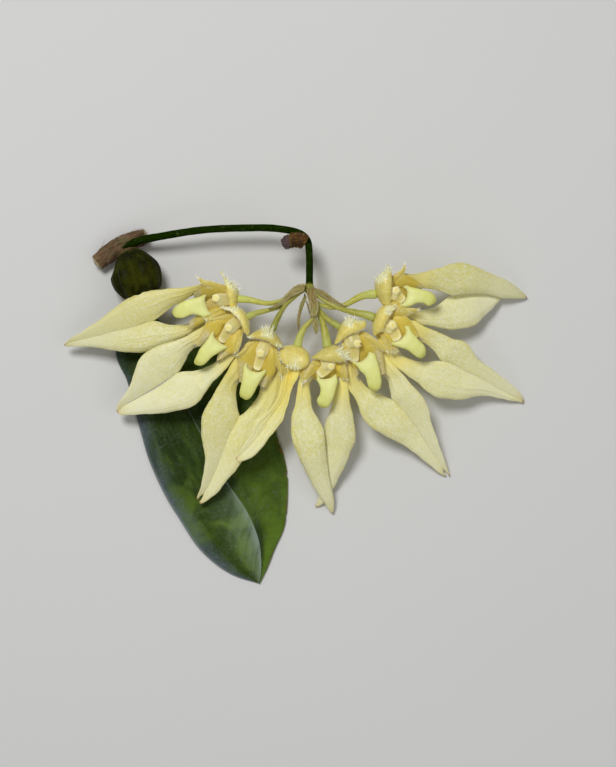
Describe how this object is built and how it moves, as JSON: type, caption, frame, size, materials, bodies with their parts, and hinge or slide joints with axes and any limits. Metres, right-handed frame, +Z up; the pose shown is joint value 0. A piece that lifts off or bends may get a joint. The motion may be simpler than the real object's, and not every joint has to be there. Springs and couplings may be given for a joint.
{
  "type": "bulbophyllum orchid",
  "caption": "Cut orchid umbel on a drooping stem with a leaf, its pseudobulb and a short piece of rhizome, lying on its back.",
  "frame": {"origin": "centre of the footprint on the surface it lies on", "axes": "+X to the right along the fan of flowers, +Y towards the flower stem's bend, +Z up off the surface"},
  "size_m": [0.0938, 0.0726, 0.0149],
  "materials": {
    "stem": "satin",
    "sheath": "matte",
    "bract": "matte",
    "hood": "satin",
    "petal": "satin",
    "sepal": "satin",
    "lip": "waxy",
    "column": "waxy",
    "leaf": "satin",
    "bulb": "glossy",
    "rhizome": "matte"
  },
  "bodies": {
    "root": {"scape": "stem", "peduncle_sheath": "sheath", "bract_1": "bract", "bract_2": "bract", "bract_3": "bract", "bract_4": "bract", "bract_5": "bract", "bract_6": "bract", "f1_dorsal_sepal": "hood", "f1_petal_left": "petal", "f1_petal_right": "petal", "f1_lateral_sepals": "sepal", "f1_lip": "lip", "f1_column": "column", "f2_dorsal_sepal": "hood", "f2_petal_left": "petal", "f2_petal_right": "petal", "f2_lateral_sepals": "sepal", "f2_lip": "lip", "f2_column": "column", "f3_dorsal_sepal": "hood", "f3_petal_left": "petal", "f3_petal_right": "petal", "f3_lateral_sepals": "sepal", "f3_lip": "lip", "f3_column": "column", "f4_dorsal_sepal": "hood", "f4_petal_left": "petal", "f4_petal_right": "petal", "f4_lateral_sepals": "sepal", "f4_lip": "lip", "f4_column": "column", "f5_dorsal_sepal": "hood", "f5_petal_left": "petal", "f5_petal_right": "petal", "f5_lateral_sepals": "sepal", "f5_lip": "lip", "f5_column": "column", "f6_dorsal_sepal": "hood", "f6_petal_left": "petal", "f6_petal_right": "petal", "f6_lateral_sepals": "sepal", "f6_lip": "lip", "f6_column": "column", "f7_dorsal_sepal": "hood", "f7_petal_left": "petal", "f7_petal_right": "petal", "f7_lateral_sepals": "sepal", "f7_lip": "lip", "f7_column": "column", "f8_dorsal_sepal": "hood", "f8_petal_left": "petal", "f8_petal_right": "petal", "f8_lateral_sepals": "sepal", "f8_lip": "lip", "f8_column": "column", "leaf": "leaf", "pseudobulb": "bulb", "rhizome": "rhizome"}
  },
  "joints": []
}
